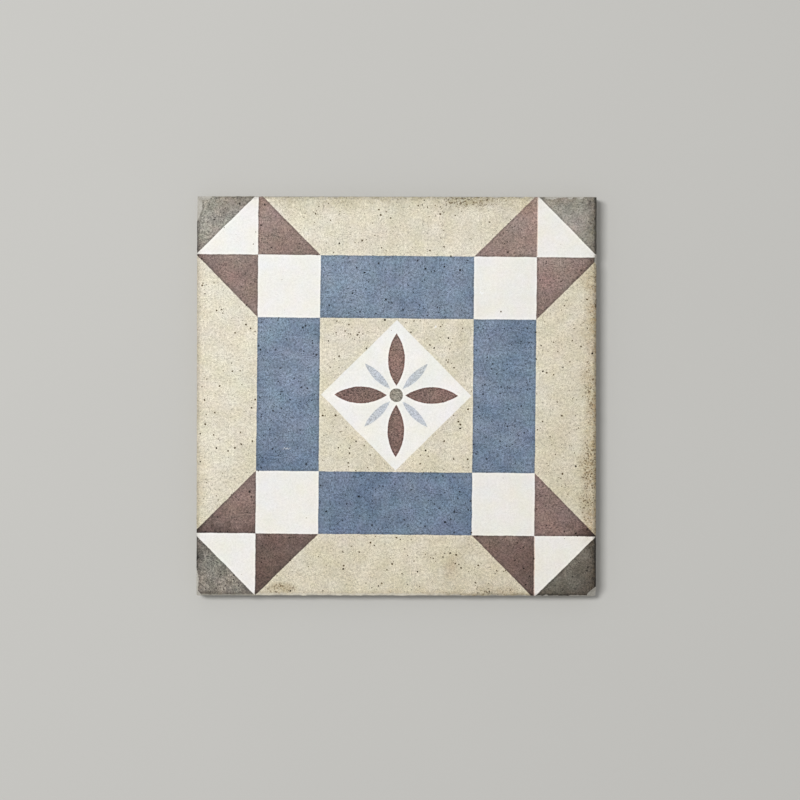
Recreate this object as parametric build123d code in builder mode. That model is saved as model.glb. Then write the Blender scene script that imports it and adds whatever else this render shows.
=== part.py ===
from build123d import *
from collections import namedtuple
from math import copysign, radians, sqrt, tan
import os

os.makedirs("parts", exist_ok=True)

# A square ceramic tile lying face up, in millimetres.
# The origin is the middle of the back, on the plane that the tile rests on.
# +Z runs out of the face, and +X and +Y run along its sides.

# Body
face_side = 200.0  # length of each side of the square face
thickness = 10.0
upright_band = 4.5  # height of the straight part of the sides, below the face
side_draft = 4.0  # lean of the lower sides towards the back, in degrees
corner_radius = 0.9  # rounding of the upright corners
arris_radius = 0.5  # wear along the edges of the face

# Keyed back, which the bedding mortar grips
key_count = 10  # recesses along each row
key_rim = 7.0  # plain border around the field of recesses
key_rib = 3.0  # rib left standing between two recesses
key_depth = 0.9
key_slope = 35.0  # lean of the recess walls, in degrees

# Sides of the tile, as turns from +X in degrees
right_side = 0
far_side = 90
left_side = 180
near_side = 270

# Flakes lost from the edges of the face. Each has its middle at a distance from a corner of its side,
# the one that lies counter-clockwise or, with a minus, the one that lies clockwise.
# It bites into the face and drops down the side.
Flake = namedtuple("Flake", "side from_corner length bite drop")
edge_flakes = [
    Flake(left_side, from_corner=-4.5, length=16.5, bite=2.7, drop=3.2),
    Flake(far_side, from_corner=2.8, length=11.5, bite=2.2, drop=2.6),
    Flake(far_side, from_corner=-22.7, length=9.5, bite=1.6, drop=1.8),
    Flake(far_side, from_corner=-16.5, length=22.0, bite=0.9, drop=1.1),
    Flake(far_side, from_corner=-13.4, length=4.8, bite=1.4, drop=1.6),
    Flake(far_side, from_corner=-8.7, length=5.5, bite=1.4, drop=1.6),
    Flake(right_side, from_corner=31.5, length=6.5, bite=1.2, drop=1.5),
    Flake(near_side, from_corner=25.0, length=4.5, bite=0.9, drop=1.1),
    Flake(near_side, from_corner=70.0, length=13.0, bite=0.9, drop=1.0),
    Flake(near_side, from_corner=88.0, length=18.0, bite=0.8, drop=1.0),
    Flake(left_side, from_corner=7.0, length=15.0, bite=1.2, drop=1.5),
]

# Corners broken off on a slant, with the corner given by the side that ends there, counter-clockwise.
# A break reaches as far along both edges and drops down the corner.
Break = namedtuple("Break", "side reach drop hollow")
corner_breaks = [
    Break(left_side, reach=3.3, drop=2.6, hollow=6.6),
    Break(near_side, reach=5.2, drop=4.2, hollow=10.4),
]

half_side = face_side / 2
drafted_height = thickness - upright_band
side_lean = drafted_height * tan(radians(side_draft))
back_side = face_side - 2 * side_lean
key_pitch = (back_side - 2 * key_rim + key_rib) / key_count
key_width = key_pitch - key_rib

with BuildPart() as tile:
    # Straight band under the face, and lower sides that draw in to the back
    with BuildSketch(Plane.XY.offset(drafted_height)) as outline:
        RectangleRounded(face_side, face_side, corner_radius)
    extrude(amount=upright_band)
    extrude(outline.sketch, amount=drafted_height, dir=(0, 0, -1), taper=side_draft)
    face = tile.faces().sort_by(Axis.Z)[-1]
    fillet(face.edges(), arris_radius)

    # Recesses with sloping walls, which leave a lattice of ribs level with the rim
    with BuildSketch():
        with GridLocations(key_pitch, key_pitch, key_count, key_count):
            Rectangle(key_width, key_width)
    extrude(amount=key_depth, taper=key_slope, mode=Mode.SUBTRACT)

    # A flake is the mark of a ball that meets the face in an arc of its length and bite,
    # and the side in an arc of the same length and its drop
    for flake in edge_flakes:
        half_length = flake.length / 2
        along = copysign(half_side, flake.from_corner) - flake.from_corner
        outside = (half_length**2 - flake.bite**2) / (2 * flake.bite)
        above = (half_length**2 - flake.drop**2) / (2 * flake.drop)
        ball = sqrt(half_length**2 + outside**2 + above**2)
        with Locations(Rotation(0, 0, flake.side)):
            with Locations((half_side + outside, along, thickness + above)):
                Sphere(ball, mode=Mode.SUBTRACT)

    # A break is the mark of a ball that meets both edges at its reach and the corner at its drop
    for broken in corner_breaks:
        outside = broken.hollow
        above = (broken.reach**2 + 2 * broken.reach * outside - broken.drop**2) / (2 * broken.drop)
        ball = sqrt(2 * outside**2 + (broken.drop + above) ** 2)
        with Locations(Rotation(0, 0, broken.side)):
            with Locations((half_side + outside, half_side + outside, thickness + above)):
                Sphere(ball, mode=Mode.SUBTRACT)

tile.part.label = "tile"
export_step(tile.part, "parts/tile.step")
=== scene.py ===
import math
import random

import bmesh
import bpy
from mathutils import Matrix, Vector


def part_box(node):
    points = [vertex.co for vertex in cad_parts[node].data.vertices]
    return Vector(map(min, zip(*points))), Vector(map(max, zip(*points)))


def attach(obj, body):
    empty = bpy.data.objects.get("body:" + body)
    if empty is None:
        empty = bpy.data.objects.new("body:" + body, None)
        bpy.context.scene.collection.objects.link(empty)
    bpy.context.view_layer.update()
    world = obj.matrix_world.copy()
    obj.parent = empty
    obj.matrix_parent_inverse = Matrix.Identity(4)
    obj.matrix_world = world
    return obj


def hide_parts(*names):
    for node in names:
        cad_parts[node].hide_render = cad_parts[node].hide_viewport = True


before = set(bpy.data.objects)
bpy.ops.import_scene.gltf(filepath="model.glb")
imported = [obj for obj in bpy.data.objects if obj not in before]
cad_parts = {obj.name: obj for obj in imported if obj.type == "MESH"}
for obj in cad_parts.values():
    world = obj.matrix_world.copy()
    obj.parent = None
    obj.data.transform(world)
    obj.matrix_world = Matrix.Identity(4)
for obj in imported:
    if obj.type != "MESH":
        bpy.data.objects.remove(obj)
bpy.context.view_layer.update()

mm = 0.001
tileLow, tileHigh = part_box("tile")
half = (tileHigh.x - tileLow.x) / 2
halfMm = round(half / mm, 3)
thick = tileHigh.z - tileLow.z
print("frame loaded, tile side", round(2 * half, 4), "thickness", round(thick, 4))


# small helpers

def focusOn(obj):
    bpy.ops.object.select_all(action="DESELECT")
    obj.select_set(True)
    bpy.context.view_layer.objects.active = obj


def pick(obj, kind, test):
    # select in edit mode only what passes the test
    cage = bmesh.from_edit_mesh(obj.data)
    bpy.ops.mesh.select_all(action="DESELECT")
    for part in getattr(cage, kind):
        if test(part):
            part.select_set(True)
    bmesh.update_edit_mesh(obj.data)


def reach(point):
    # half side of the square ring that a point lies on
    return max(abs(point.x), abs(point.y))


def paintGroup(obj, name, weightOf):
    group = obj.vertex_groups.new(name=name)
    for vert in obj.data.vertices:
        weight = weightOf(vert.co)
        if weight > 0:
            group.add([vert.index], weight, "REPLACE")


def roughen(obj, name, size, depth, group="", middle=0.5, contrast=1.0):
    cloud = bpy.data.textures.new(name, "CLOUDS")
    cloud.noise_scale = size
    cloud.noise_depth = 2
    cloud.contrast = contrast
    push = obj.modifiers.new(name, "DISPLACE")
    push.texture = cloud
    push.texture_coords = "LOCAL"
    push.strength = depth
    push.mid_level = middle
    push.vertex_group = group
    focusOn(obj)
    bpy.ops.object.modifier_apply(modifier=name)


def carve(obj, tool, name):
    cut = obj.modifiers.new(name, "BOOLEAN")
    cut.operation = "DIFFERENCE"
    cut.solver = "MANIFOLD"
    cut.object = tool
    focusOn(obj)
    bpy.ops.object.modifier_apply(modifier=name)
    bpy.data.objects.remove(tool, do_unlink=True)


# printed pattern, in mm from its own middle

pattern = {
    "shift": (-0.16, 0.48),  # the print sits a little off the middle of the tile
    "turn": 0.44,  # and a little askew, in degrees
    "inner": 38.4,  # half of the middle square
    "outer": 69.7,  # half of the square outside the blue bands
    "edge": 100.9,  # where the brown triangles run out
    "tip": 170.3,  # x + y along the grey corners
    "diamond": 37.6,  # half diagonal of the white diamond
    "petal": (4.7, 30.95, 4.15),  # inner tip, outer tip, half width
    "leaf": (4.4, 22.35, 1.96),
    "eye": 3.4,
    "soft": 0.12,  # half width of a colour border
    "wander": 0.28,  # slow drift of the borders
    "fray": 0.14,  # fine raggedness of the borders
}
pattern["slant"] = (pattern["outer"] - pattern["inner"]) / (pattern["edge"] - pattern["outer"])

# colours as seen, sRGB 0 to 255
tones = {
    "creamDeep": (200, 190, 164),
    "creamPale": (234, 228, 211),
    "blueDeep": (99, 115, 137),
    "bluePale": (132, 147, 165),
    "brown": [
        (-96, (105, 87, 79)),
        (-70, (112, 93, 86)),
        (-66, (131, 110, 103)),
        (-40, (141, 120, 113)),
        (58, (145, 125, 117)),
        (88, (151, 131, 123)),
    ],
    "grey": [(-90, (104, 98, 88)), (-36, (134, 128, 119)), (36, (160, 154, 145)), (90, (153, 148, 139))],
    "whiteDeep": (233, 229, 221),
    "whitePale": (243, 242, 237),
    "petalDeep": (120, 97, 89),
    "petalPale": (139, 116, 108),
    "petalRim": (136, 78, 70),
    "leaf": (194, 199, 205),
    "eye": (153, 146, 135),
    "grime": (176, 138, 62),
    "oliveGrime": (156, 144, 84),
    "rust": (112, 88, 44),
    "fringe": (196, 140, 106),
    "worn": (230, 224, 208),
    "scratch": (248, 249, 248),
    # tints inside the pinholes: grime and painted shade
    "poreGrimeShadePale": (140, 124, 100),
    "poreGrimeShadeDark": (168, 166, 166),
    "biscuit": (196, 193, 185),
    "biscuitDeep": (166, 161, 150),
}


def fromSrgb(rgb):
    # the standard curve, with full alpha
    linear = [c / 255 / 12.92 if c < 11 else ((c / 255 + 0.055) / 1.055) ** 2.4 for c in rgb]
    return (*linear, 1.0)


class Nodes:
    # short hand for the nodes of one material

    def __init__(self, name):
        self.material = bpy.data.materials.new(name)
        self.material.use_nodes = True
        self.tree = self.material.node_tree
        self.tree.nodes.clear()

    def put(self, kind, **settings):
        node = self.tree.nodes.new(kind)
        for key, value in settings.items():
            setattr(node, key, value)
        return node

    def feed(self, socket, value):
        if isinstance(value, bpy.types.NodeSocket):
            self.tree.links.new(value, socket)
        else:
            socket.default_value = value

    def calc(self, operation, a, b=0.0):
        node = self.put("ShaderNodeMath", operation=operation)
        self.feed(node.inputs[0], a)
        self.feed(node.inputs[1], b)
        return node.outputs[0]

    def total(self, *terms):
        # sum of (value, weight) pairs and plain values
        whole = 0.0
        for term in terms:
            part = self.calc("MULTIPLY", *term) if isinstance(term, tuple) else term
            whole = self.calc("ADD", whole, part)
        return whole

    def product(self, *factors):
        whole = factors[0]
        for factor in factors[1:]:
            whole = self.calc("MULTIPLY", whole, factor)
        return whole

    def most(self, *values):
        whole = values[0]
        for value in values[1:]:
            whole = self.calc("MAXIMUM", whole, value)
        return whole

    def least(self, *values):
        whole = values[0]
        for value in values[1:]:
            whole = self.calc("MINIMUM", whole, value)
        return whole

    def soft(self, value, start, end):
        # 0 up to start, 1 from end on
        node = self.put("ShaderNodeMapRange", clamp=True)
        self.feed(node.inputs["Value"], value)
        node.inputs["From Min"].default_value = start
        node.inputs["From Max"].default_value = end
        return node.outputs["Result"]

    def blend(self, amount, a, b, mode="MIX"):
        node = self.put("ShaderNodeMix", data_type="RGBA", blend_type=mode, clamp_factor=True)
        self.feed(node.inputs[0], amount)
        self.feed(node.inputs[6], a)
        self.feed(node.inputs[7], b)
        return node.outputs[2]

    def level(self, amount, a, b):
        node = self.put("ShaderNodeMix", data_type="FLOAT", clamp_factor=True)
        self.feed(node.inputs[0], amount)
        self.feed(node.inputs[2], a)
        self.feed(node.inputs[3], b)
        return node.outputs[0]

    def shade(self, colour, strength):
        # one brightness for all three channels
        grey = self.put("ShaderNodeCombineColor")
        for channel in grey.inputs:
            self.feed(channel, strength)
        return self.blend(1.0, colour, grey.outputs[0], "MULTIPLY")

    def ramp(self, value, stops):
        # stops are (position, sRGB), the positions in the unit of the value
        first, last = stops[0][0], stops[-1][0]
        node = self.put("ShaderNodeValToRGB")
        band = node.color_ramp
        while len(band.elements) < len(stops):
            band.elements.new(0.5)
        for element, (spot, rgb) in zip(band.elements, stops):
            element.position = (spot - first) / (last - first)
        for element, (spot, rgb) in zip(band.elements, stops):
            element.color = fromSrgb(rgb)
        self.feed(node.inputs[0], self.soft(value, first, last))
        return node.outputs["Color"]

    def noise(self, vector, scale, detail=2.0, rough=0.5):
        node = self.put("ShaderNodeTexNoise")
        self.feed(node.inputs["Vector"], vector)
        node.inputs["Scale"].default_value = scale
        node.inputs["Detail"].default_value = detail
        node.inputs["Roughness"].default_value = rough
        return node

    def grain(self, vector, scale, detail, rough):
        # noise around zero
        return self.calc("SUBTRACT", self.noise(vector, scale, detail, rough).outputs["Fac"], 0.5)

    def specks(self, vector, scale, share, size, rim=0.35):
        # round specks in some of the cells of a scatter, as 0 to 1
        node = self.put("ShaderNodeTexVoronoi", voronoi_dimensions="2D")
        self.feed(node.inputs["Vector"], vector)
        node.inputs["Scale"].default_value = scale
        split = self.put("ShaderNodeSeparateColor")
        self.feed(split.inputs[0], node.outputs["Color"])
        radius = self.calc("MULTIPLY", self.soft(split.outputs[0], 1 - share, 1.0), size)
        return self.soft(self.calc("SUBTRACT", radius, node.outputs["Distance"]), 0.0, size * rim)

    def move(self, vector, scale, offset):
        node = self.put("ShaderNodeVectorMath", operation="MULTIPLY_ADD")
        self.feed(node.inputs[0], vector)
        self.feed(node.inputs[1], scale)
        self.feed(node.inputs[2], offset)
        return node.outputs[0]

    def millimetres(self):
        spot = self.put("ShaderNodeTexCoord").outputs["Object"]
        return self.move(spot, (1 / mm, 1 / mm, 1 / mm), (0, 0, 0))

    def axes(self, vector):
        split = self.put("ShaderNodeSeparateXYZ")
        self.feed(split.inputs[0], vector)
        return split.outputs[0], split.outputs[1], split.outputs[2]

    def finish(self, colour, roughness, specular, height=None, depth=0.0):
        shader = self.put("ShaderNodeBsdfPrincipled")
        self.feed(shader.inputs["Base Color"], colour)
        self.feed(shader.inputs["Roughness"], roughness)
        shader.inputs["Specular IOR Level"].default_value = specular
        if height is not None:
            relief = self.put("ShaderNodeBump")
            relief.inputs["Distance"].default_value = depth
            self.feed(relief.inputs["Height"], height)
            self.feed(shader.inputs["Normal"], relief.outputs["Normal"])
        output = self.put("ShaderNodeOutputMaterial")
        self.feed(output.inputs["Surface"], shader.outputs["BSDF"])
        return self.material


faceFinish = {
    "roughness": (0.82, 0.25),  # level, and how far the grain shifts it
    "specular": 0.28,
    "bump": 0.00006,  # height of the sandy grain, in metres
    "printFoot": (9.3, 9.62),  # heights where the colour gives way to the bare side, in mm
    "footFray": 0.7,  # raggedness of that border
    "bareTone": (0.8, 1.0, 1.2, 0.5),  # cloud, slow and middling noise, level
    "noise": {  # marks per mm, detail and roughness
        "wander": (0.13, 2.0, 0.5),
        "fray": (0.9, 3.0, 0.6),
        "cloud": (0.045, 3.0, 0.55),
        "slow": (0.17, 3.0, 0.6),
        "mid": (0.8, 3.0, 0.7),
        "fine": (1.9, 2.0, 0.6),
        "hue": (0.08, 3.0, 0.62),
        "speck": (0.75, 3.0, 0.7),
        "drift": (0.09, 3.0, 0.6),
        "crumb": (1.25, 2.0, 0.6),
        "foot": (0.7, 3.0, 0.7),
    },
    "uneven": {  # level, change per mm in x and in y, shares of the cloud and slow noise; the change in x and y of the cream, blue and white is partly painted light, lighter towards the top left where the light comes from, and partly their own tone
        "cream": (0.53, -0.0016, 0.0018, 0.7, 0.5),
        "blue": (0.5, -0.0016, 0.004, 1.4, 0.8),
        "white": (0.55, -0.0022, 0.0022, 0.4, 0.5),
        "brown": (0.0, 0.0, 1.0, 25.0, 30.0),
        "grey": (0.0, -0.3, 0.7, 40.0, 40.0),
        "petal": (0.5, 0.002, 0.012, 0.6, 1.4),
    },
    "creamEnds": -0.0009,  # per mm towards the top and the bottom
    "diamondLift": 0.3,  # the diamond is whiter than the squares
    "brownTips": (17.0, 2.0, -0.3),  # mm from the left and right edges, change of brightness
    "brownSides": [(-60.0, 60.0, 0.0006), (-62.0, -75.0, 0.0012)],  # heights, brighter per mm in x
    "brownLean": [  # corner, whether along the top or bottom, brighter per mm in x and in y
        (1, 1, False, -0.004, 0.016),
        (1, 1, True, 0.0, 0.009),
        (-1, 1, True, -0.008, 0.0),
        (1, -1, True, -0.015, 0.0),
    ],
    "leanSpan": {"along": (0, 4, 60), "out": (68, 71, 79)},  # start and middle of a triangle, in mm
    "brownNoise": (0.5, 0.25),  # cloud and slow
    "greyMottle": (-0.0019, -0.0007, 0.67),  # per mm in x and y, level: most at the bottom left
    "greyBlotch": (1.9, 0.9),  # slow and cloud
    "greyGrit": (2.4, 2.2, 0.6),  # middling and fine, and the mottling where it sets in
    "petalRim": (0.75, 0.25, 0.4),  # depths in mm and strength of the red along the rims
    "fringe": (0.6, 0.2, 0.5),  # the same for the white beside the brown
    "tint": {"dark": (0.18, 0.07, 0.11), "pale": (0.06, 0.02, 0.12)},  # drift of red, green and blue
    "grain": (2.6, 2.35, 0.3),  # fine, middling and slow
    "sandy": {"dark": 1.0, "cream": 0.54, "white": 0.13, "leaf": 0.65, "petal": 1.4},  # share of the grain
    "pitScatter": (0.52, 0.3, 0.17),  # cells per mm, share of them, size
    "pitGrimeAndShade": (0.55, 0.08),  # darkness of the smallest pits, which are only painted: partly grime, partly painted shade of the hollows, in the colours and in the white
    "pooled": (0.19, 0.26),  # darkening where the blue and the other dark colours end
    "pooledReach": (1.2, 0.6),  # mm inside the border
    "halo": 0.07,  # lightening just outside it
    "haloReach": (-1.2, -0.7),
    "darkest": 0.2,  # no shading goes below this share
    "spotty": (-0.04, 0.13, 0.75, 0.4),  # specks from and to, their share, least dirt
    "sideDirt": [  # width in mm, strength
        ("right", 8.0, 0.55),
        ("top", 9.5, 0.38),
        ("left", 6.0, 0.22),
        ("bottom", 3.5, 0.42),
    ],
    "sideRagged": (1.6, 4.0),  # drift by the width, specks in mm
    "stains": [  # x, y, half lengths and strength
        (97, -40, 7, 32, 0.9),
        (38, 98.5, 28, 5.3, 1.0),
        (-57, -97, 10, 5, 0.8),
        (50, -97.5, 18, 4.5, 0.56),
        (-5, -99, 45, 3, 0.35),
        (97, 66, 5, 12, 0.45),
        (97, 4, 5.5, 27, 0.75),
    ],
    "stainRagged": (1.2, 0.8, 0.3),  # drift, specks, full from here inwards
    "smears": [(27.5, -84, 4.5, 8.5, 0.3)],  # as the stains, without crumbs
    "smearRagged": (1.2, 0.6, 0.2),
    "whiteDirt": 0.35,  # share of the dirt that the white takes
    "crumbs": {"grow": 0.1, "size": (0.139, 0.189), "zone": (0.12, 0.45), "strength": 0.84},
    "veil": (0.5, 1.05),  # share of the stains in it, strength
    "olive": (60.0, 90.0),  # heights over which the grime turns olive
    "edgeDirtAndShade": {  # dark line along the edge, partly dirt and partly painted shade of the arris and the shaded sides: its darkness on the pale colours and on the dark ones, and of the shade beside it
        "right": (0.42, 0.66, 0.36),
        "top": (0.22, 0.2, 0.0),
        "left": (0.26, 0.54, 0.22),
        "bottom": (0.3, 0.46, 0.26),
    },
    "lineReach": (2.1, 0.7, 3.5, 0.5),  # mm from the edge, specks, narrower on the dark colours
    "shadeReach": (4.5, 0.5, 8.0),  # the same for the shade beside it
    "wornPart": (35.0, 5.0, 120.0),  # x where the pale line sets in, drift
    "wornReach": (1.9, 0.9, 1.5, 0.6),  # as for the dark line
    "worn": (0.7, 0.45),  # strength on the pale colours and on the dark ones
    "scratches": [  # as the stains, for scratches and pale specks
        (-55.0, -26.3, 2.6, 0.3, 0.5),
        (42.4, 51.6, 1.2, 0.7, 0.95),
        (19.4, 34.6, 0.7, 0.6, 0.8),
    ],
    "scratchRim": (1.1, 0.5),  # where the mark starts and is full, 1 at its rim
    "zigzag": (0.7, 1.3, 2.0, -0.45),  # length of a stroke in mm, height, specks, shift
}


def makeFace(name, dark):
    # dark darkens the insides of the pinholes: partly grime, partly painted shade of the hollows
    n = Nodes(name)
    p, f = pattern, faceFinish
    diagonal = math.sqrt(0.5)
    place = n.millimetres()
    x, y, z = n.axes(place)

    def grain(kind):
        return n.grain(place, *f["noise"][kind])

    def hues(kind):
        return n.noise(place, *f["noise"][kind]).outputs["Color"]

    # the print, with its borders slightly adrift
    adrift = n.move(hues("wander"), (2 * p["wander"], 2 * p["wander"], 0), place)
    adrift = n.move(hues("fray"), (2 * p["fray"], 2 * p["fray"], 0), adrift)
    slip = p["wander"] + p["fray"]
    adrift = n.move(adrift, (1, 1, 1), (-slip - p["shift"][0], -slip - p["shift"][1], 0))
    askew = n.put("ShaderNodeVectorRotate", rotation_type="Z_AXIS")
    n.feed(askew.inputs["Vector"], adrift)
    askew.inputs["Angle"].default_value = math.radians(p["turn"])
    px, py = n.axes(askew.outputs[0])[:2]

    ax, ay = n.calc("ABSOLUTE", px), n.calc("ABSOLUTE", py)
    far, near = n.most(ax, ay), n.least(ax, ay)
    both = n.calc("ADD", ax, ay)
    slanted = n.calc("MULTIPLY", both, diagonal)
    crossed = n.calc("MULTIPLY", n.calc("SUBTRACT", ax, ay), diagonal)
    ring = n.calc("SQRT", n.total((px, px), (py, py)))

    def lens(u, v, tips):
        # depth inside a pointed oval along u, between two arcs
        start, end, width = tips
        stretch = (end - start) / 2
        radius = (stretch**2 + width**2) / (2 * width)
        du = n.calc("SUBTRACT", u, start + stretch)
        dv = n.calc("ADD", n.calc("ABSOLUTE", v), radius - width)
        return n.calc("SUBTRACT", radius, n.calc("SQRT", n.total((du, du), (dv, dv))))

    # depth inside each shape, in mm
    offMiddle = n.calc("SUBTRACT", far, p["inner"])
    offBand = n.calc("SUBTRACT", far, p["outer"])
    square = n.calc("SUBTRACT", near, p["inner"])
    cell = n.calc("SUBTRACT", near, p["outer"])
    greyTip = n.calc("MULTIPLY", n.calc("SUBTRACT", both, p["tip"]), diagonal)
    ramped = n.calc("SUBTRACT", square, n.calc("MULTIPLY", offBand, p["slant"]))
    triangle = n.calc("MULTIPLY", ramped, 1 / math.hypot(1, p["slant"]))
    diamond = n.calc("MULTIPLY", n.calc("SUBTRACT", p["diamond"], both), diagonal)
    petals = lens(far, near, p["petal"])
    leaves = lens(slanted, crossed, p["leaf"])
    eye = n.calc("SUBTRACT", p["eye"], ring)
    blueBand = n.least(offMiddle, n.calc("MULTIPLY", offBand, -1.0), n.calc("MULTIPLY", square, -1.0))
    brownTriangle = n.least(offBand, n.calc("MULTIPLY", cell, -1.0), triangle)
    inked = n.most(blueBand, brownTriangle, greyTip, petals, eye)

    def inside(depth):
        return n.soft(depth, -p["soft"], p["soft"])

    # uneven tones; in the cream, blue and white the slope in x and y is partly painted light, lighter
    # towards the top left
    cloud, slow, mid, fine = (grain(kind) for kind in ("cloud", "slow", "mid", "fine"))

    def uneven(kind):
        level, byX, byY, byCloud, bySlow = f["uneven"][kind]
        return n.total((x, byX), (y, byY), (cloud, byCloud), (slow, bySlow), level)

    def between(amount, deep, pale):
        return n.blend(amount, fromSrgb(tones[deep]), fromSrgb(tones[pale]))

    creamTone = n.total(uneven("cream"), (n.calc("ABSOLUTE", y), f["creamEnds"]))
    cream = between(creamTone, "creamDeep", "creamPale")
    blue = between(uneven("blue"), "blueDeep", "bluePale")
    whiteTone = n.total(uneven("white"), (inside(diamond), f["diamondLift"]))
    white = between(whiteTone, "whiteDeep", "whitePale")
    petal = between(uneven("petal"), "petalDeep", "petalPale")
    rimStart, rimFull, rimShare = f["petalRim"]
    rimRed = n.product(n.soft(petals, rimStart, rimFull), rimShare)
    petal = n.blend(rimRed, petal, fromSrgb(tones["petalRim"]))

    # brown, darker at the tips and leaning another way in each triangle
    tipStart, tipFull, tipShade = f["brownTips"]
    tips = n.soft(n.calc("SUBTRACT", halfMm, n.calc("ABSOLUTE", x)), tipStart, tipFull)
    sideways = [n.product(x, n.soft(y, start, full), perX) for start, full, perX in f["brownSides"]]
    lean = 0.0
    for right, top, flat, perX, perY in f["brownLean"]:
        spanX, spanY = ("along", "out") if flat else ("out", "along")
        startX, fullX, middleX = f["leanSpan"][spanX]
        startY, fullY, middleY = f["leanSpan"][spanY]
        inX = n.soft(n.calc("MULTIPLY", x, right), startX, fullX)
        inY = n.soft(n.calc("MULTIPLY", y, top), startY, fullY)
        offX, offY = n.calc("SUBTRACT", x, middleX * right), n.calc("SUBTRACT", y, middleY * top)
        lean = n.total(lean, (n.product(inX, inY), n.total((offX, perX), (offY, perY))))
    byCloud, bySlow = f["brownNoise"]
    brownLift = n.total((tips, tipShade), *sideways, lean, (cloud, byCloud), (slow, bySlow), 1.0)
    brown = n.shade(n.ramp(uneven("brown"), tones["brown"]), brownLift)

    # grey, mottled and gritty
    mottled = n.total((x, f["greyMottle"][0]), (y, f["greyMottle"][1]), f["greyMottle"][2])
    blotches = n.product(n.total((slow, f["greyBlotch"][0]), (cloud, f["greyBlotch"][1])), mottled)
    byMid, byFine, gritFrom = f["greyGrit"]
    gritty = n.product(n.total((mid, byMid), (fine, byFine)), n.calc("SUBTRACT", mottled, gritFrom))
    grey = n.shade(n.ramp(uneven("grey"), tones["grey"]), n.total(blotches, gritty, 1.0))

    middle = n.blend(inside(diamond), cream, white)
    middle = n.blend(inside(petals), middle, petal)
    middle = n.blend(inside(leaves), middle, fromSrgb(tones["leaf"]))
    middle = n.blend(inside(eye), middle, fromSrgb(tones["eye"]))
    bands = n.blend(inside(square), blue, white)
    border = n.blend(inside(triangle), cream, brown)
    border = n.blend(inside(cell), border, n.blend(inside(greyTip), white, grey))
    colour = n.blend(inside(offBand), n.blend(inside(offMiddle), middle, bands), border)

    # reddish fringe where the brown meets the white on the right, and a slow drift of the hue
    start, full, strength = f["fringe"]
    overBrown = n.soft(n.calc("SUBTRACT", ay, ax), 0.0, start)
    fringe = n.product(inside(cell), n.soft(cell, start, full), overBrown, n.soft(px, 0.0, 1.0), strength)
    colour = n.blend(fringe, colour, fromSrgb(tones["fringe"]))
    hue = hues("hue")
    tint = {}
    for kind, drifts in f["tint"].items():
        tint[kind] = n.move(hue, [2 * d for d in drifts], [1 - d for d in drifts])
    colour = n.blend(1.0, colour, n.blend(inside(inked), tint["pale"], tint["dark"]), "MULTIPLY")

    # sandy grain, strong in the dark colours and faint in the white
    plain = n.level(inside(offMiddle), inside(diamond), inside(square))
    plain = n.level(inside(offBand), plain, inside(cell))
    plain = n.product(plain, n.calc("SUBTRACT", 1.0, inside(inked)))
    sandy = n.level(plain, f["sandy"]["cream"], f["sandy"]["white"])
    sandy = n.level(inside(leaves), sandy, f["sandy"]["leaf"])
    sandy = n.level(inside(inked), sandy, f["sandy"]["dark"])
    sandy = n.level(inside(n.most(petals, eye)), sandy, f["sandy"]["petal"])
    sand = n.total((fine, f["grain"][0]), (mid, f["grain"][1]), (slow, f["grain"][2]))
    lift = n.total((sand, sandy), 1.0)
    # the smallest pits as dark specks: painted shade of hollows that have no geometry, with some grime
    pitGrimeAndShade = n.product(n.specks(place, *f["pitScatter"]), n.level(plain, *f["pitGrimeAndShade"]))
    lift = n.product(lift, n.total((pitGrimeAndShade, -1.0), 1.0))

    # pigment pooled along the borders
    pooled = n.level(inside(blueBand), f["pooled"][1], f["pooled"][0])
    pooled = n.product(inside(inked), n.soft(inked, *f["pooledReach"]), pooled)
    halo = n.product(n.calc("SUBTRACT", 1.0, inside(inked)), n.soft(inked, *f["haloReach"]), f["halo"])
    lift = n.product(lift, n.total(1.0, halo, (pooled, -1.0)))
    colour = n.shade(colour, n.most(lift, f["darkest"]))

    # dirt worked in from the edges, and stains
    speck, drift = grain("speck"), grain("drift")
    toEdge = {
        "right": n.calc("SUBTRACT", halfMm, x),
        "left": n.calc("ADD", x, halfMm),
        "top": n.calc("SUBTRACT", halfMm, y),
        "bottom": n.calc("ADD", y, halfMm),
    }

    def away(spotX, spotY, alongX, alongY, sway=0.0):
        # 0 in the middle of an oval mark, 1 at its rim
        du = n.calc("MULTIPLY", n.calc("SUBTRACT", x, spotX), 1 / alongX)
        dv = n.calc("MULTIPLY", n.total(y, -spotY, (sway, 1.0)), 1 / alongY)
        return n.calc("SQRT", n.total((du, du), (dv, dv)))

    def blot(spot, ragged):
        *oval, strength = spot
        byDrift, bySpeck, full = ragged
        gone = n.total(away(*oval), (drift, byDrift), (speck, bySpeck))
        return n.product(n.soft(gone, 1.0, full), strength)

    dirt = 0.0
    for side, width, strength in f["sideDirt"]:
        depth = n.total(toEdge[side], (drift, width * f["sideRagged"][0]), (speck, f["sideRagged"][1]))
        dirt = n.most(dirt, n.product(n.soft(depth, width, 0.0), strength))
    stain = 0.0
    for spot in f["stains"]:
        stain = n.most(stain, blot(spot, f["stainRagged"]))
    clean = n.level(plain, 1.0, f["whiteDirt"])
    zone = n.most(stain, dirt)
    c = f["crumbs"]
    crumbs = n.soft(n.total(grain("crumb"), (zone, c["grow"])), *c["size"])
    crumbs = n.product(crumbs, n.soft(zone, *c["zone"]), clean, c["strength"])
    speckFrom, speckTo, spotShare, leastDirt = f["spotty"]
    spotty = n.total((n.soft(speck, speckFrom, speckTo), spotShare), leastDirt)
    stainShare, veil = f["veil"]
    dirt = n.product(n.most(dirt, n.product(stain, stainShare)), spotty, clean, veil)
    grime = between(n.soft(y, *f["olive"]), "grime", "oliveGrime")
    colour = n.blend(dirt, colour, grime, "MULTIPLY")
    colour = n.blend(crumbs, colour, fromSrgb(tones["rust"]), "MULTIPLY")
    for spot in f["smears"]:
        colour = n.blend(blot(spot, f["smearRagged"]), colour, grime, "MULTIPLY")
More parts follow.
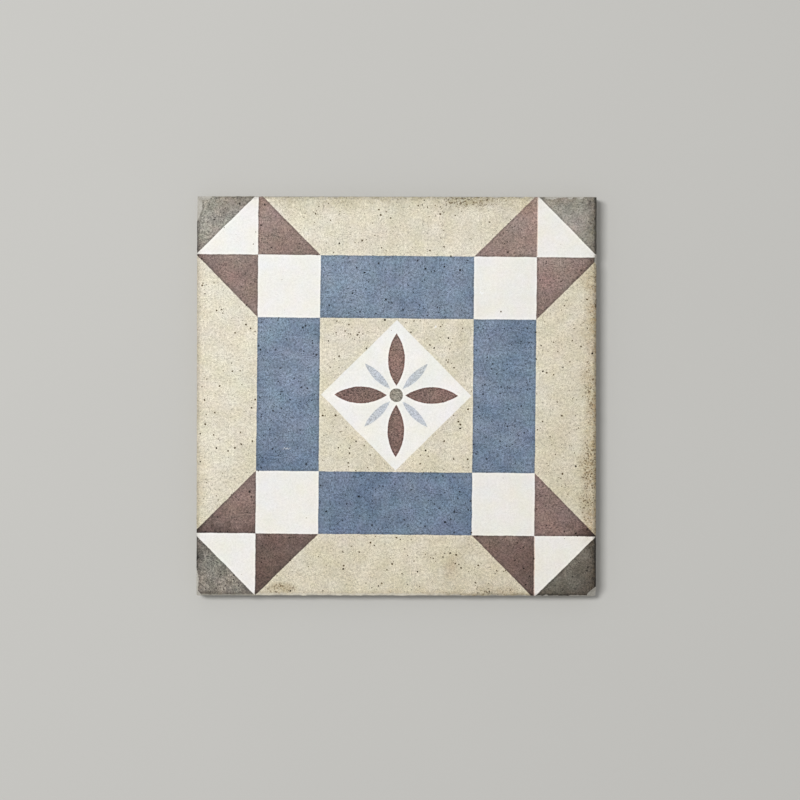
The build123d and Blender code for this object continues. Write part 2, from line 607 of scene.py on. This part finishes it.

    # dark line along the very edge, partly dirt on the arris and partly painted shade of the arris and the
    # shaded sides
    rimDirtAndShade = 0.0
    lineStart, lineFull, lineSpeck, lineNarrow = f["lineReach"]
    shadeStart, shadeFull, shadeSpeck = f["shadeReach"]
    for side, (onPale, onDark, besideIt) in f["edgeDirtAndShade"].items():
        gap = n.total(toEdge[side], (speck, lineSpeck), (inside(inked), lineNarrow))
        line = n.product(n.soft(gap, lineStart, lineFull), n.level(inside(inked), onPale, onDark))
        gap = n.total(toEdge[side], (speck, shadeSpeck))
        beside = n.product(n.soft(gap, shadeStart, shadeFull), inside(inked), besideIt)
        rimDirtAndShade = n.most(rimDirtAndShade, n.total(line, beside))
    colour = n.shade(colour, n.most(n.total((rimDirtAndShade, -1.0), 1.0), f["darkest"]))

    # pale worn line along the left part of the bottom edge
    partStart, partFull, partDrift = f["wornPart"]
    leftPart = n.soft(n.total(x, (drift, partDrift)), partStart, partFull)
    wornStart, wornFull, wornSpeck, wornNarrow = f["wornReach"]
    gap = n.total(toEdge["bottom"], (speck, wornSpeck), (inside(inked), wornNarrow))
    worn = n.product(n.soft(gap, wornStart, wornFull), leftPart, n.level(inside(inked), *f["worn"]))
    colour = n.blend(worn, colour, fromSrgb(tones["worn"]))

    # scratches, which run in a zigzag
    stroke, height, bySpeck, shift = f["zigzag"]
    zigzag = n.total((n.calc("PINGPONG", x, stroke), height), (speck, bySpeck), shift)
    for *oval, strength in f["scratches"]:
        scratch = n.product(n.soft(away(*oval, zigzag), *f["scratchRim"]), strength)
        colour = n.blend(scratch, colour, fromSrgb(tones["scratch"]))

    # bare side below the print
    foot = n.total(z, (grain("foot"), f["footFray"]))
    byCloud, bySlow, byMid, level = f["bareTone"]
    bare = between(n.total((cloud, byCloud), (slow, bySlow), (mid, byMid), level), "biscuitDeep", "biscuit")
    colour = n.blend(n.soft(foot, *f["printFoot"]), bare, colour)
    # painted shade, with some grime, inside the pinholes, which are too shallow to get dark under the soft
    # light
    if dark:
        poreGrimeShade = between(inside(inked), "poreGrimeShadePale", "poreGrimeShadeDark")
        colour = n.blend(1.0, n.shade(colour, dark), poreGrimeShade, "MULTIPLY")
    roughness = n.total((mid, f["roughness"][1]), f["roughness"][0])
    return n.finish(colour, roughness, f["specular"], n.total(fine, mid), f["bump"])


biscuitFinish = {
    "roughness": (0.9, 0.1),  # level, and how far the blotches shift it
    "specular": 0.2,
    "bump": 0.00015,
    "grain": (1.6, 3.0, 0.7),  # marks per mm, detail and roughness
    "blotches": (0.4, 3.0, 0.6),
    "tone": (2.2, 1.4, 0.5),  # grain, blotches, level
}


def makeBiscuit(name):
    n = Nodes(name)
    f = biscuitFinish
    place = n.millimetres()
    fine, mid = n.grain(place, *f["grain"]), n.grain(place, *f["blotches"])
    tone = n.total((fine, f["tone"][0]), (mid, f["tone"][1]), f["tone"][2])
    colour = n.blend(tone, fromSrgb(tones["biscuitDeep"]), fromSrgb(tones["biscuit"]))
    roughness = n.total((mid, f["roughness"][1]), f["roughness"][0])
    return n.finish(colour, roughness, f["specular"], fine, f["bump"])


finishes = [
    makeFace("printedFace", 0),
    makeBiscuit("brokenBiscuit"),
    # the pinhole finishes: the face colour darkened by grime and painted shade
    makeFace("pinholeGrimeAndShade", 0.8),
    makeFace("deepPinholeGrimeAndShade", 0.28),
]
brokenSlot, pinholeShadeSlot, deepPinholeShadeSlot = 1, 2, 3  # places in that list
print("finishes made")


# tile body

tileBody = {
    "cell": 4 * mm,  # mesh cells over the face
    "rimWidth": 8 * mm,  # finer cells along the edges
    "rimCuts": 7,
    "arris": 0.5 * mm,
    "arrisSteps": 3,
    "band": 4.5 * mm,  # straight part of the sides
    "draft": 4.0,  # lean of the lower sides, in degrees
    "draftRows": 2,
    "row": 1.4 * mm,
    "corner": 0.45 * mm,
    "cornerSteps": 2,
    "keyCount": 10,
    "keyRim": 7 * mm,
    "keyRib": 3 * mm,
    "keyDepth": 0.9 * mm,
    "keySlope": 35.0,  # lean of the recess walls, in degrees
    "wear": [(3.2 * mm, 0.75 * mm, 2.0), (1.0 * mm, 0.3 * mm, 1.4)],  # size, depth, contrast
    "wearReach": 1.7 * mm,
    "wearShare": {"right": 0.25, "top": 0.8, "left": 0.3, "bottom": 1.0},
    "smooth": 38,  # edges below this angle are shaded smooth, in degrees
    "touch": 0.001 * mm,  # points closer than this count as one
}


def buildTile():
    s = tileBody
    lean = (thick - s["band"]) * math.tan(math.radians(s["draft"]))

    # rings from the edge of the flat face, over the arris and down the sides
    rings = [(half - s["arris"], thick)]
    for step in range(1, s["arrisSteps"] + 1):
        turn = math.pi / 2 * step / s["arrisSteps"]
        rings.append((half - s["arris"] * (1 - math.sin(turn)), thick - s["arris"] * (1 - math.cos(turn))))
    straight, foot = thick - s["arris"], thick - s["band"]
    rows = math.ceil((straight - foot) / s["row"])
    rings += [(half, straight - (straight - foot) * i / rows) for i in range(1, rows + 1)]
    rows = s["draftRows"]
    rings += [(half - lean * i / rows, foot - foot * i / rows) for i in range(1, rows + 1)]

    bpy.ops.object.select_all(action="DESELECT")
    cells = round(2 * half / s["cell"])
    bpy.ops.mesh.primitive_grid_add(
        x_subdivisions=cells, y_subdivisions=cells, size=2 * rings[0][0], location=(0, 0, thick)
    )
    tile = bpy.context.object
    tile.name = tile.data.name = "patternTile"
    bpy.ops.object.transform_apply(location=True, rotation=True, scale=True)
    bpy.ops.object.mode_set(mode="EDIT")
    bpy.ops.mesh.select_mode(type="FACE")
    pick(tile, "faces", lambda f: reach(f.calc_center_median()) > half - s["rimWidth"])
    bpy.ops.mesh.subdivide(number_cuts=s["rimCuts"])

    bpy.ops.mesh.select_mode(type="EDGE")
    pick(tile, "edges", lambda e: e.is_boundary)
    for (outOld, heightOld), (out, height) in zip(rings, rings[1:]):
        bpy.ops.mesh.extrude_region_move(TRANSFORM_OT_translate={"value": (0, 0, height - heightOld)})
        bpy.ops.transform.resize(value=(out / outOld, out / outOld, 1), center_override=(0, 0, height))

    def onCorner(edge):
        ends = [v.co for v in edge.verts]
        onDiagonal = all(abs(abs(c.x) - abs(c.y)) < s["touch"] for c in ends)
        return onDiagonal and all(reach(c) > half - s["arris"] - lean - s["touch"] for c in ends)

    pick(tile, "edges", onCorner)
    bpy.ops.mesh.bevel(offset=s["corner"], segments=s["cornerSteps"], affect="EDGES", clamp_overlap=True)

    # keyed back: one face per recess, its ribs by inset and its floor pushed in
    count = s["keyCount"]
    pitch = (2 * (half - lean) - 2 * s["keyRim"] + s["keyRib"]) / count
    bpy.ops.mesh.primitive_grid_add(
        x_subdivisions=count, y_subdivisions=count, size=pitch * count, location=(0, 0, 0)
    )
    slope = s["keyDepth"] * math.tan(math.radians(s["keySlope"]))
    bpy.ops.mesh.inset(thickness=s["keyRib"] / 2, use_individual=True)
    bpy.ops.mesh.inset(thickness=slope, depth=s["keyDepth"], use_individual=True)
    bpy.ops.mesh.select_mode(type="EDGE")
    pick(tile, "edges", lambda e: e.is_boundary)
    bpy.ops.mesh.fill(use_beauty=True)
    bpy.ops.mesh.select_all(action="SELECT")
    bpy.ops.mesh.normals_make_consistent(inside=False)
    bpy.ops.object.mode_set(mode="OBJECT")

    # wear along the arris, always inwards and most on the bottom side
    def nearArris(point):
        gap = math.hypot(half - reach(point), thick - point.z)
        if abs(point.x) > abs(point.y):
            side = "right" if point.x > 0 else "left"
        else:
            side = "top" if point.y > 0 else "bottom"
        return max(0.0, 1 - gap / s["wearReach"]) * s["wearShare"][side]

    paintGroup(tile, "arris", nearArris)
    for i, (size, depth, contrast) in enumerate(s["wear"]):
        roughen(tile, "arrisWear%d" % i, size, depth, group="arris", middle=1.0, contrast=contrast)
    tile.vertex_groups.clear()
    for vert in tile.data.vertices:
        vert.co.z = min(vert.co.z, thick)
    for finish in finishes:
        tile.data.materials.append(finish)
    return tile


tile = buildTile()
print("tile body", len(tile.data.polygons), "faces")


# damage at the edges, in mm

damage = {
    "flakes": [  # side as a turn from +X, distance from a corner, length, bite, drop
        (180, -4.5, 16.5, 2.7, 3.2),
        (90, 2.8, 11.5, 2.2, 2.6),
        (90, -22.7, 9.5, 1.6, 1.8),
        (90, -16.5, 22.0, 0.9, 1.1),
        (90, -13.4, 4.8, 1.4, 1.6),
        (90, -8.7, 5.5, 1.4, 1.6),
        (0, 31.5, 6.5, 1.2, 1.5),
        (270, 25.0, 4.5, 0.9, 1.1),
        (270, 70.0, 13.0, 0.9, 1.0),
        (270, 88.0, 18.0, 0.8, 1.0),
        (180, 7.0, 15.0, 1.2, 1.5),
    ],
    "breaks": [(180, 3.3, 2.6, 6.6), (270, 5.2, 4.2, 10.4)],  # side, reach, drop, hollow
    "spread": 2.2,  # half length of the ball's own mark, in bites
    "fineness": 6,  # subdivisions of the balls
    "ragged": [(2.4 * mm, 0.35), (0.8 * mm, 0.24)],  # size, depth as a share of the bite
    "breakBite": 0.4,  # bite of a break for that, as a share of its drop
}


def chipBall(side, spot, radius, stretch, bite):
    turn = math.radians(side)
    bpy.ops.object.select_all(action="DESELECT")
    bpy.ops.mesh.primitive_ico_sphere_add(
        subdivisions=damage["fineness"],
        radius=radius,
        location=Matrix.Rotation(turn, 3, "Z") @ Vector(spot),
        rotation=(0, 0, turn),
        scale=(1, stretch, 1),
    )
    ball = bpy.context.object
    bpy.ops.object.transform_apply(location=True, rotation=True, scale=True)
    for i, (size, share) in enumerate(damage["ragged"]):
        roughen(ball, "chipRough%d" % i, size, share * bite)
    for finish in finishes:
        ball.data.materials.append(finish)
    ball.data.polygons.foreach_set("material_index", [brokenSlot] * len(ball.data.polygons))
    return ball


def chipEdges():
    for i, (side, corner, length, bite, drop) in enumerate(damage["flakes"]):
        length, bite, drop = length / 2 * mm, bite * mm, drop * mm
        own = damage["spread"] * max(bite, drop)
        outside = (own**2 - bite**2) / (2 * bite)
        above = (own**2 - drop**2) / (2 * drop)
        along = math.copysign(half, corner) - corner * mm
        radius = math.sqrt(own**2 + outside**2 + above**2)
        spot = (half + outside, along, thick + above)
        carve(tile, chipBall(side, spot, radius, length / own, min(bite, drop)), "flake%d" % i)
    for i, (side, corner, drop, hollow) in enumerate(damage["breaks"]):
        corner, drop, hollow = corner * mm, drop * mm, hollow * mm
        above = (corner**2 + 2 * corner * hollow - drop**2) / (2 * drop)
        radius = math.sqrt(2 * hollow**2 + (drop + above) ** 2)
        spot = (half + hollow, half + hollow, thick + above)
        carve(tile, chipBall(side, spot, radius, 1.0, drop * damage["breakBite"]), "cornerBreak%d" % i)


chipEdges()
print("edges chipped", len(tile.data.polygons), "faces")


# pinholes in the face

pinholes = {
    "seed": 23,
    "tries": 5200,
    "most": 1700,
    "limit": 97.5,  # farthest from the middle, in mm
    "share": {"blue": 1.0, "cream": 0.45, "middle": 0.7, "brown": 0.7, "grey": 0.8, "white": 0.02},
    "radius": (0.16, 0.28, 0.62),  # least, usual and most, in mm
    "uneven": 0.5,
    "pairs": 0.3,  # share that has another one close by
    "pairGap": (0.1, 1.1),  # least and most between the two, in mm
    "clear": 0.08,  # least between any two
    "ball": (7, 4),  # segments and rings
    "depth": 0.8,  # in radii
    "depthDrift": (0.75, 1.2),
    "raised": 0.12,  # middle of the ball above the face, in radii
    "squash": (0.6, 1.0),
    "dents": (0.85, 1.1),
    "byHand": [  # x, y, radius in mm
        (-5.9, 38.1, 0.7), (63.8, -86.0, 0.55), (-70.5, 82.0, 0.3), (-52.9, -97.4, 0.6),
        (46.6, -97.6, 0.55), (40.8, -98.3, 0.45), (-8.9, -94.9, 0.45), (5.6, -94.1, 0.42),
        (46.1, -93.5, 0.35), (12.7, 95.7, 0.45), (13.7, 98.0, 0.4), (36.1, 98.3, 0.45),
        (27.0, -78.4, 0.75), (-28.7, 76.4, 0.62), (-90.0, -26.1, 0.62), (-20.2, -22.6, 0.56),
        (-26.5, -86.4, 0.62), (-73.3, -47.9, 0.75), (-18.7, -50.1, 0.78), (-35.0, -57.6, 0.75),
        (31.9, -16.1, 0.69), (89.7, -34.9, 0.69), (24.4, -62.9, 0.81), (10.6, -87.7, 0.5),
        (89.8, -68.4, 0.62), (14.4, 63.7, 0.75), (23.8, 64.8, 0.62), (31.7, 63.1, 0.62),
        (18.8, 24.1, 0.62), (25.9, 29.1, 0.56), (73.2, 12.6, 0.56), (83.2, 14.6, 0.56),
        (72.3, 25.4, 0.5), (14.6, -27.1, 0.62), (-34.1, 27.6, 0.56), (-15.1, 23.9, 0.5),
        (97.9, 21.6, 0.69), (69.8, 18.7, 0.5), (-98.1, -18.9, 0.5), (-98.1, -32.9, 0.5),
        (-46.9, 34.3, 0.56), (-42.2, 27.7, 0.5), (-68.1, 23.2, 0.69), (-16.1, 61.8, 0.62),
        (-20.0, 64.2, 0.56), (-5.4, 48.4, 0.62), (-44.6, 3.9, 0.56), (-82.5, 16.4, 0.5),
    ],
}


def colourAt(x, y):
    p = pattern
    turn = math.radians(p["turn"])
    x, y = x - p["shift"][0], y - p["shift"][1]
    ax = abs(x * math.cos(turn) - y * math.sin(turn))
    ay = abs(x * math.sin(turn) + y * math.cos(turn))
    far, near = max(ax, ay), min(ax, ay)
    if far < p["inner"]:
        return "white" if ax + ay < p["diamond"] else "middle"
    if far < p["outer"]:
        return "blue" if near < p["inner"] else "white"
    if near > p["outer"]:
        return "grey" if ax + ay > p["tip"] else "white"
    return "brown" if near > p["inner"] + (far - p["outer"]) * p["slant"] else "cream"


def scatterPinholes(dice):
    s = pinholes
    limit = s["limit"]
    least, usual, most = s["radius"]
    spots = list(s["byHand"])
    nextTo = None
    for attempt in range(s["tries"]):
        r = min(most, max(least, dice.lognormvariate(math.log(usual), s["uneven"])))
        if nextTo:
            turn, gap = dice.uniform(0, 2 * math.pi), nextTo[2] + r + dice.uniform(*s["pairGap"])
            x, y = nextTo[0] + gap * math.cos(turn), nextTo[1] + gap * math.sin(turn)
            nextTo = None
        else:
            x, y = dice.uniform(-limit, limit), dice.uniform(-limit, limit)
        wanted = dice.random() < s["share"][colourAt(x, y)]
        clear = all((x - a) ** 2 + (y - b) ** 2 > (r + c + s["clear"]) ** 2 for a, b, c in spots)
        if wanted and clear and max(abs(x), abs(y)) < limit and len(spots) < s["most"]:
            spots.append((x, y, r))
            if dice.random() < s["pairs"]:
                nextTo = (x, y, r)
    return spots


def prickFace():
    s = pinholes
    dice = random.Random(s["seed"])
    spots = scatterPinholes(dice)

    # one small ball, copied to every spot with its own turn, squash and dents
    bpy.ops.object.select_all(action="DESELECT")
    bpy.ops.mesh.primitive_uv_sphere_add(segments=s["ball"][0], ring_count=s["ball"][1], radius=1)
    first = bpy.context.object
    corners = [v.co.copy() for v in first.data.vertices]
    sides = [tuple(f.vertices) for f in first.data.polygons]
    bpy.data.objects.remove(first, do_unlink=True)
    points, faces, slots = [], [], []
    for i, (x, y, r) in enumerate(spots):
        squash = dice.uniform(*s["squash"])
        deep = s["depth"] * dice.uniform(*s["depthDrift"])
        shape = Matrix.Translation((x * mm, y * mm, thick + s["raised"] * r * mm))
        shape = shape @ Matrix.Rotation(dice.uniform(0, math.pi), 4, "Z")
        shape = shape @ Matrix.Diagonal((r * mm, r * squash * mm, r * deep * mm, 1))
        faces += [tuple(len(points) + v for v in side) for side in sides]
        points += [shape @ (c * dice.uniform(*s["dents"])) for c in corners]
        slots += [deepPinholeShadeSlot if i < len(s["byHand"]) else pinholeShadeSlot] * len(sides)
    mesh = bpy.data.meshes.new("pinholeBalls")
    mesh.from_pydata(points, [], faces)
    balls = bpy.data.objects.new("pinholeBalls", mesh)
    bpy.context.collection.objects.link(balls)
    for finish in finishes:
        mesh.materials.append(finish)
    mesh.polygons.foreach_set("material_index", slots)
    carve(tile, balls, "pinholes")
    return len(spots)


print("pinholes", prickFace())


# own map for the bake: the face large, the sides in strips and the back small

bakeMap = {  # places and sizes as shares of the map
    "margin": 0.008,
    "face": 0.81,
    "back": (0.828, 0.164),
    "strip": {"right": 0.828, "left": 0.870, "top": 0.912, "bottom": 0.954},
    "stripHeight": 0.036,
    "facing": 0.25,  # least rise of a normal that counts as face or back
    "faceRim": 2.5 * mm,  # farther in than this, everything on top is face
}


def layMap():
    m = bakeMap
    layer = tile.data.uv_layers.new(name="OFBake")
    for face in tile.data.polygons:
        n, c = face.normal, face.center
        upper = n.z > m["facing"] or (reach(c) < half - m["faceRim"] and c.z > thick / 2)
        sideways = abs(n.x) > abs(n.y)
        if sideways:
            strip = m["strip"]["right" if n.x > 0 else "left"]
        else:
            strip = m["strip"]["top" if n.y > 0 else "bottom"]
        for loop in face.loop_indices:
            v = tile.data.vertices[tile.data.loops[loop].vertex_index].co
            across, up = (v.x + half) / (2 * half), (v.y + half) / (2 * half)
            if upper:
                spot = (m["margin"] + m["face"] * across, m["margin"] + m["face"] * up)
            elif n.z < -m["facing"]:
                spot = (m["back"][0] + m["back"][1] * across, m["margin"] + m["back"][1] * up)
            else:
                along = up if sideways else across
                spot = (m["margin"] + m["face"] * along, strip + m["stripHeight"] * v.z / thick)
            layer.data[loop].uv = spot


layMap()
focusOn(tile)
bpy.ops.object.shade_smooth_by_angle(angle=math.radians(tileBody["smooth"]))
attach(tile, "root")
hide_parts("tile")
print("tile finished", len(tile.data.polygons), "faces")


# floor, light and camera

studio = {
    "floor": (198, 197, 193),  # sRGB
    "floorSize": 8,  # metres
    "floorDrift": (0.985, 1.015),  # brightness
    "floorNoise": (6.0, 3.0),  # marks per metre and detail
    "floorRoughness": 0.9,
    "floorSpecular": 0.1,
    "sky": 0.42,
    "key": 43.7,
    "keySize": (1.0, 0.55),
    "keySpot": (-1.03, 0.56, 2.336),
    "sensor": 36.0,
    "lens": 85.0,
    "across": 0.4,  # width of the picture at the face, in metres
    "aim": (0.00175, -0.0019),
    "roll": 0.1,  # degrees
}


def makeFloor():
    bpy.ops.object.select_all(action="DESELECT")
    bpy.ops.mesh.primitive_plane_add(size=studio["floorSize"], location=(0, 0, 0))
    floor = bpy.context.object
    floor.name = "floor"
    n = Nodes("paleFloor")
    paint = fromSrgb(studio["floor"])
    spot = n.put("ShaderNodeTexCoord").outputs["Object"]
    dull, bright = ((*(c * share for c in paint[:3]), 1.0) for share in studio["floorDrift"])
    colour = n.blend(n.noise(spot, *studio["floorNoise"]).outputs["Fac"], dull, bright)
    floor.data.materials.append(n.finish(colour, studio["floorRoughness"], studio["floorSpecular"]))


def makeLight():
    world = bpy.data.worlds.new("studioSky")
    bpy.context.scene.world = world
    world.use_nodes = True
    sky = world.node_tree.nodes["Background"]
    sky.inputs["Color"].default_value = (1, 1, 1, 1)
    sky.inputs["Strength"].default_value = studio["sky"]
    lamp = bpy.data.lights.new("keyLight", "AREA")
    lamp.shape = "RECTANGLE"
    lamp.energy = studio["key"]
    lamp.size, lamp.size_y = studio["keySize"]
    key = bpy.data.objects.new("keyLight", lamp)
    key.location = studio["keySpot"]
    back = Vector(studio["keySpot"]).normalized()
    across = Vector((0, 1, 0)).cross(back).normalized()  # its long side runs along the top edge
    key.rotation_euler = Matrix((across, back.cross(across), back)).transposed().to_euler()
    bpy.context.collection.objects.link(key)


def makeCamera():
    lens = bpy.data.cameras.new("photoCamera")
    lens.lens = studio["lens"]
    lens.sensor_width = studio["sensor"]
    camera = bpy.data.objects.new("photoCamera", lens)
    away = studio["across"] * studio["lens"] / studio["sensor"]
    camera.location = (studio["aim"][0], studio["aim"][1], thick + away)
    camera.rotation_euler = (0, 0, math.radians(studio["roll"]))
    bpy.context.collection.objects.link(camera)
    bpy.context.scene.camera = camera


makeFloor()
makeLight()
makeCamera()
bpy.context.scene.view_settings.view_transform = "Standard"
print("studio set")
